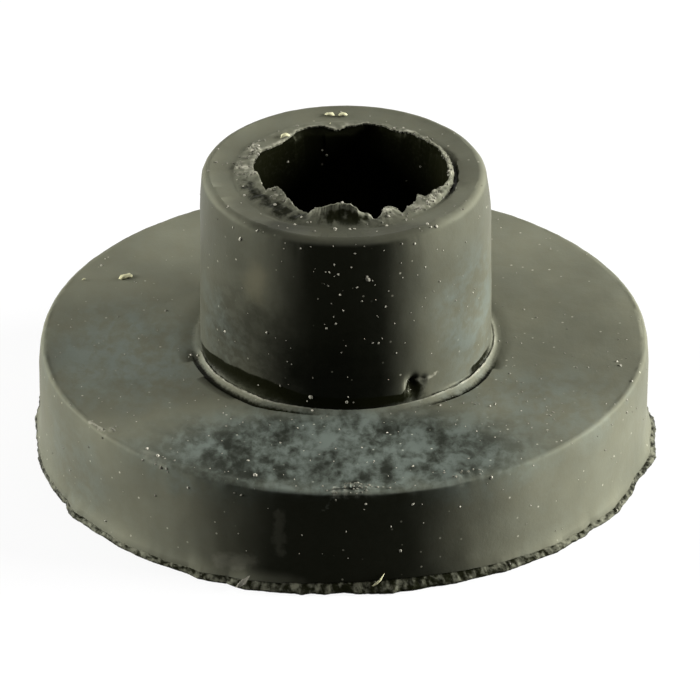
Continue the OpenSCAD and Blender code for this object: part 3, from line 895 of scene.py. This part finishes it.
def black_rubber():
    """Moulded black vulcanised rubber: dull satin, under an olive haze of handling dust, with
    blue-grey bloom where its wax has risen. Bare rubber shows at the neck's foot. Light and shade are
    painted in too: side light on the walls, shade and shadow at the neck's top, its foot, the flash's
    step and the front flap, and highlights on the bead and the gouge's rim."""
    mat, tree, shader = new_material("black_vulcanised_rubber")
    coords = add_node(tree, "ShaderNodeTexCoord").outputs["Object"]
    height = add_node(tree, "ShaderNodeSeparateXYZ", None, {0: coords}).outputs["Z"]
    normal = add_node(tree, "ShaderNodeNewGeometry").outputs["Normal"]
    normal = add_node(tree, "ShaderNodeSeparateXYZ", None, {0: normal}).outputs
    dust = add_node(tree, "ShaderNodeAttribute", {"attribute_name": "dust"}).outputs["Fac"]
    warped = strayed(tree, coords, 1.6, 2.2)
    frayed = strayed(tree, coords, 0.45, 0.7)
    drawn_out = add_node(tree, VECTOR, TIMES, {0: coords, 1: (0.95, 0.62, 1)})
    clouds = {}
    for name, (size, detail, roughness, distortion) in CLOUDS.items():
        clouds[name] = add_node(tree, "ShaderNodeTexNoise", None, {
            "Vector": drawn_out if name in ("bloom", "mottle") else coords, "Scale": 1 / (size * MM),
            "Detail": detail, "Roughness": roughness, "Distortion": distortion})

    # Crumbs about 0.17 mm wide break up the bare spots and the light lines; the bare spots hold painted
    # shade as well, and the light lines the bead's painted highlight
    crumbly = add_node(tree, RANGE, SMOOTH, {
        "Value": clouds["crumbs"], "From Min": 0.32, "From Max": 0.68})
    bare_and_shaded_spots = add_node(tree, MATH, TIMES_PLUS, {0: crumbly, 1: 0.3, 2: dust})
    bare_and_shaded_spots = add_node(tree, RANGE, SMOOTH, {"Value": bare_and_shaded_spots, "From Min": 0.1, "From Max": -0.85})
    covered = add_node(tree, MATH, MINUS, {0: 1.0, 1: bare_and_shaded_spots})
    broken = add_node(tree, MATH, PLUS, {0: crumbly, 1: 0.5})
    dust_lines_and_highlight = add_node(tree, RANGE, SMOOTH, {"Value": dust, "To Max": 0.8})
    dust_lines_and_highlight = add_node(tree, MATH, TIMES, {0: dust_lines_and_highlight, 1: broken})

    # Bloom comes up in clouds a millimetre or two wide, finely mottled
    clouded = add_node(tree, MATH, TIMES_PLUS, {0: clouds["mottle"], 1: 0.75, 2: clouds["bloom"]})
    clouded = add_node(tree, RANGE, SMOOTH, {"Value": clouded, "From Min": 0.66, "From Max": 1.10})
    front_patch = patch(tree, warped, *FRONT_PATCH, soft=0.35)
    blue = front_patch
    for strength, centre, size in BLOOM:
        spread = patch(tree, warped, centre, size, strength=strength)
        blue = add_node(tree, MATH, HIGHER, {0: blue, 1: spread})
    blue = add_node(tree, MATH, TIMES_PLUS, {0: blue, 1: 0.55, 2: 0.08})
    blue = add_node(tree, MATH, TIMES, {0: clouded, 1: blue})

    # Haze of dust: thick on what faces up, broken into clouds in a patch in front of the neck, and
    # thinner on the neck's top; painted shadow of the lifted skin darkens the neck's top at the
    # front-left
    gaps = add_node(tree, MATH, TIMES_PLUS, {0: clouded, 1: -0.52, 2: 0.77})
    gaps = add_node(tree, MATH, TIMES, {0: front_patch, 1: gaps})
    top_haze_and_shadow = add_node(tree, MATH, MINUS, {0: 0.87, 1: gaps})
    thinner = add_node(tree, RANGE, SMOOTH, {
        "Value": height, "From Min": 14 * MM, "From Max": 15 * MM, "To Max": -0.16})
    for change in [thinner] + [patch(tree, warped, *where, amount) for amount, *where in HAZE_AND_SHADOW_CHANGES]:
        top_haze_and_shadow = add_node(tree, MATH, PLUS, {0: top_haze_and_shadow, 1: change})

    # Walls keep their haze at the sides and less of it at the front and the back: this is painted side
    # light, lighter where a wall faces the lamps at the sides
    neck_left = patch(tree, coords, on_wall(NECK_R, 200, 10.5), (4.0, 5.0, 6.0), 0.3, -0.16)
    on_neck = add_node(tree, MATH, PLUS, {0: neck_left, 1: 0.5})
    rubbed = patch(tree, warped, on_wall(NECK_R, 228, 7.6), (3.2, 3.2, 3.7), 0.45)
    worn = add_node(tree, RANGE, SMOOTH, {
        "Value": clouds["mottle"], "From Min": 0.66, "From Max": 0.38, "To Min": 0.3})
    worn = add_node(tree, MATH, TIMES, {0: rubbed, 1: worn})
    worn = add_node(tree, MATH, TIMES_PLUS, {0: worn, 1: -0.38, 2: 1.0})
    on_neck = add_node(tree, MATH, TIMES, {0: on_neck, 1: worn})
    low_wall = add_node(tree, RANGE, SMOOTH, {
        "Value": height, "From Min": 5.75 * MM, "From Max": 5.65 * MM})
    # Painted side light: the mask grows as a wall's normal turns sideways, towards the side lamps
    across = add_node(tree, MATH, {"operation": "ABSOLUTE"}, {0: normal["X"]})
    for mask, amount in ((rubbed, -0.15), (low_wall, 0.03)):
        across = add_node(tree, MATH, TIMES_PLUS, {0: mask, 1: amount, 2: across})
    side_light_mask = add_node(tree, RANGE, SMOOTH, {"Value": across, "From Min": 0.20, "From Max": 0.64})
    wall_haze_and_side_light = add_node(tree, MATH, TIMES_PLUS, {0: low_wall, 1: 0.18, 2: on_neck})
    wall_haze_and_side_light = add_node(tree, MATH, TIMES, {0: side_light_mask, 1: wall_haze_and_side_light})
    wall_haze_and_side_light = add_node(tree, MATH, TIMES_PLUS, {0: clouded, 1: 0.012, 2: wall_haze_and_side_light})

    # The whole haze, uneven by a seventh over some millimetres
    upward = add_node(tree, RANGE, SMOOTH, {"Value": normal["Z"], "From Min": 0.15, "From Max": 0.7})
    haze_and_painted_light = add_node(tree, MIX, None, {"Factor": upward, "A": wall_haze_and_side_light, "B": top_haze_and_shadow})
    film = add_node(tree, RANGE, SMOOTH, {
        "Value": clouds["film"], "From Min": 0.25, "From Max": 0.75, "To Min": 0.86, "To Max": 1.14})
    for factor in (film, covered):
        haze_and_painted_light = add_node(tree, MATH, TIMES, {0: haze_and_painted_light, 1: factor})

    # Scuffs, light lines and specks chalk the rubber; the gouge's rim and the bead's light line are
    # painted highlights
    specks = add_node(tree, MATH, TIMES, {0: dust_specks(tree, coords), 1: covered})
    chalk_and_highlight = dust_lines_and_highlight
    for mark in [specks, streak(tree, coords, *GOUGE_RIM_HIGHLIGHT)] + [streak(tree, frayed, *s) for s in SCUFFS]:
        chalk_and_highlight = add_node(tree, MATH, HIGHER, {0: chalk_and_highlight, 1: mark})
    haze_and_painted_light = add_node(tree, MATH, {"operation": "ADD", "use_clamp": True}, {0: haze_and_painted_light, 1: chalk_and_highlight})
    stain = patch(tree, warped, on_wall(NECK_R, 232.4, 12.2), (0.9, 0.9, 1.2), 0.6, 0.6)

    dust_and_highlight_colour = linear("#6b6b5b")
    for mask, code in ((front_patch, "#646a5f"), (blue, "#77817a"), (stain, "#86826a"), (chalk_and_highlight, "#bdbaa8")):
        dust_and_highlight_colour = add_node(tree, MIX, OF_COLOURS, {
            "Factor": mask, "A": dust_and_highlight_colour, "B": linear(code)}).outputs["Result"]
    # Colour of bare rubber, which the painted shade uses too
    dark_rubber_tone = add_node(tree, MIX, OF_COLOURS, {
        "Factor": bare_and_shaded_spots, "A": linear("#0d0e0a"), "B": linear("#0e0f06")}).outputs["Result"]
    colour = add_node(tree, MIX, OF_COLOURS, {"Factor": haze_and_painted_light, "A": dark_rubber_tone, "B": dust_and_highlight_colour})
    tree.links.new(colour.outputs["Result"], shader.inputs["Base Color"])
    roughness = add_node(tree, MATH, TIMES_PLUS, {0: haze_and_painted_light, 1: 0.25, 2: 0.36})
    roughness = add_node(tree, MATH, TIMES_PLUS, {0: bare_and_shaded_spots, 1: -0.06, 2: roughness})
    tree.links.new(roughness.outputs[0], shader.inputs["Roughness"])
    # A film of oil and dust dulls the gloss and turns it olive
    shader.inputs["Specular IOR Level"].default_value = 0.04
    shader.inputs["Specular Tint"].default_value = (0.95, 1.0, 0.55, 1.0)

    # Mould texture: a faint orange peel 0.9 mm wide, with finer grain
    relief = add_node(tree, MATH, TIMES_PLUS, {0: clouds["grain"], 1: 0.35, 2: clouds["peel"]})
    bump = add_node(tree, "ShaderNodeBump", None, {
        "Height": relief, "Strength": 0.35, "Distance": 0.05 * MM})
    tree.links.new(bump.outputs["Normal"], shader.inputs["Normal"])
    return mat


def mineral_dust(name, dark, light):
    """Chalky dust, matt and a little uneven from grain to grain."""
    mat, tree, shader = new_material(name)
    coords = add_node(tree, "ShaderNodeTexCoord").outputs["Object"]
    uneven = add_node(tree, "ShaderNodeTexNoise", None, {
        "Vector": coords, "Scale": 1 / (0.8 * MM), "Detail": 2.0})
    blend_by = add_node(tree, RANGE, None, {"Value": uneven, "From Min": 0.35, "From Max": 0.65})
    colour = add_node(tree, MIX, OF_COLOURS, {"Factor": blend_by, "A": linear(dark), "B": linear(light)})
    tree.links.new(colour.outputs["Result"], shader.inputs["Base Color"])
    shader.inputs["Roughness"].default_value = 0.9
    shader.inputs["Specular IOR Level"].default_value = 0.2
    return mat


# -------- floor, lamps and camera
AIM = Vector((0.30, 0.0, 4.92)) * MM
CAMERA_DISTANCE = 497.5 * MM
CAMERA_ELEVATION = 30.206
CAMERA_ROLL = -0.15
FOCAL_PIXELS = 9488.3
FRAME_PIXELS = 700
SENSOR = 36.0
FLOOR_HALF = 0.6
FLOOR_GREY = 0.15       # what the floor gives back of the lamps' light
FLOOR_GLOW = 0.85       # what it adds for the camera, so that the unshaded floor is white
AIR_LEVEL = 0.009       # the world's light on the object
# Soft boxes: (name, azimuth, elevation, distance in metres, size in metres, watts)
LAMPS = [
    ("left_box", -97, 6, 0.35, 0.26, 4.4),
    ("right_box", 94, 8, 0.35, 0.26, 7.0),
    ("top_box", 180, 75, 0.40, 0.30, 0.35)
]


def toward(azimuth, elevation):
    """Unit vector from the object: azimuth 0 is the camera's side, 90 the right-hand side."""
    a, e = math.radians(azimuth), math.radians(elevation)
    return Vector((math.sin(a) * math.cos(e), -math.cos(a) * math.cos(e), math.sin(e)))


def turned_to(place, target):
    """Rotation that points -Z from a place at a target."""
    return (target - place).to_track_quat("-Z", "Y").to_euler()


def add_camera():
    """Camera with a long lens, a little above the object."""
    camera = add_object("camera", bpy.data.cameras.new("camera"))
    camera.location = AIM + CAMERA_DISTANCE * toward(0, CAMERA_ELEVATION)
    view = turned_to(camera.location, AIM).to_matrix()
    camera.rotation_euler = (view @ Matrix.Rotation(math.radians(CAMERA_ROLL), 3, "Z")).to_euler()
    camera.data.sensor_width = SENSOR
    camera.data.lens = FOCAL_PIXELS / FRAME_PIXELS * SENSOR
    camera.data.clip_start = 0.01
    bpy.context.scene.camera = camera


def add_lamp(name, azimuth, elevation, distance, size, watts):
    """Square soft box that faces the object."""
    box = add_object(name, bpy.data.lights.new(name, "AREA"))
    box.data.size = size
    box.data.energy = watts
    box.location = AIM + distance * toward(azimuth, elevation)
    box.rotation_euler = turned_to(box.location, AIM)


def shown(tree):
    """1 for rays from the camera, and for those that gloss or glass sends on; 0 for the rest."""
    path = add_node(tree, "ShaderNodeLightPath").outputs
    seen = path["Is Camera Ray"]
    for ray in ("Is Glossy Ray", "Is Transmission Ray"):
        seen = add_node(tree, MATH, HIGHER, {0: seen, 1: path[ray]})
    return seen


def add_world():
    """Dim studio air that looks white to the camera and in reflections."""
    world = bpy.data.worlds.new("studio")
    bpy.context.scene.world = world
    tree = empty_tree(world)
    level = add_node(tree, RANGE, None, {"Value": shown(tree), "To Min": AIR_LEVEL})
    back = add_node(tree, "ShaderNodeBackground", None, {"Color": (1, 1, 1, 1), "Strength": level})
    add_node(tree, "ShaderNodeOutputWorld", None, {"Surface": back})


def add_floor():
    """White paper: it takes the shadow, and runs out into the white behind it."""
    mesh = bpy.data.meshes.new("floor")
    corners = [(FLOOR_HALF * x, FLOOR_HALF * y, 0) for x, y in ((-1, -1), (1, -1), (1, 1), (-1, 1))]
    mesh.from_pydata(corners, [], [(0, 1, 2, 3)])
    mat = bpy.data.materials.new("white_paper")
    tree = empty_tree(mat)
    paper = add_node(tree, "ShaderNodeBsdfDiffuse", None, {"Color": (FLOOR_GREY,) * 3 + (1,)})
    glow = add_node(tree, "ShaderNodeEmission", None, {"Color": (1, 1, 1, 1), "Strength": FLOOR_GLOW})
    dark = add_node(tree, "ShaderNodeEmission", None, {"Strength": 0.0})
    added = add_node(tree, "ShaderNodeMixShader", None, {0: shown(tree), 1: dark, 2: glow})
    both = add_node(tree, "ShaderNodeAddShader", None, {0: paper, 1: added})
    add_node(tree, "ShaderNodeOutputMaterial", None, {"Surface": both})
    mesh.materials.append(mat)
    add_object("floor", mesh)


# -------- the scene
bpy.context.scene.view_settings.view_transform = "Standard"
add_camera()
add_world()
add_floor()
for lamp in LAMPS:
    add_lamp(*lamp)

body = moulding()
body.data.materials.append(black_rubber())
settled(body)
dust = mineral_dust("settled_mineral_dust", "#6e6c61", "#aeab9b")
crumb = mineral_dust("torn_rubber_crumb", "#57564a", "#7e7d70")
husk = mineral_dust("dry_plant_husk", "#a5a27f", "#c4c29e")
fine_dust = grown("fine_dust", body.data, grain_tree("scattered_grains", "grit"), {
    "Grains per square metre": 420000.0, "Grain width": 0.078 * MM, "Seed": 7, "Finish": dust})
placed = point_mesh("coarse_points", placed_grains(body))
coarse_dust = grown("coarse_dust", placed, grain_tree("placed_grains"), {"Seed": 11, "Finish": dust})
crumbs = grown("rubber_crumbs", body.data, grain_tree("torn_crumbs", "torn"), {
    "Grains per square metre": 14e6, "Grain width": 0.14 * MM, "Seed": 5, "Finish": crumb})
husks = slivers("cream_husks", HUSKS + FIBRE)
husks.data.materials.append(husk)
scrap = slivers("flash_scrap", SCRAP)
scrap.data.materials.append(dust)

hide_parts("bushing")
for piece in (body, fine_dust, coarse_dust, crumbs, husks, scrap):
    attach(piece, "root")
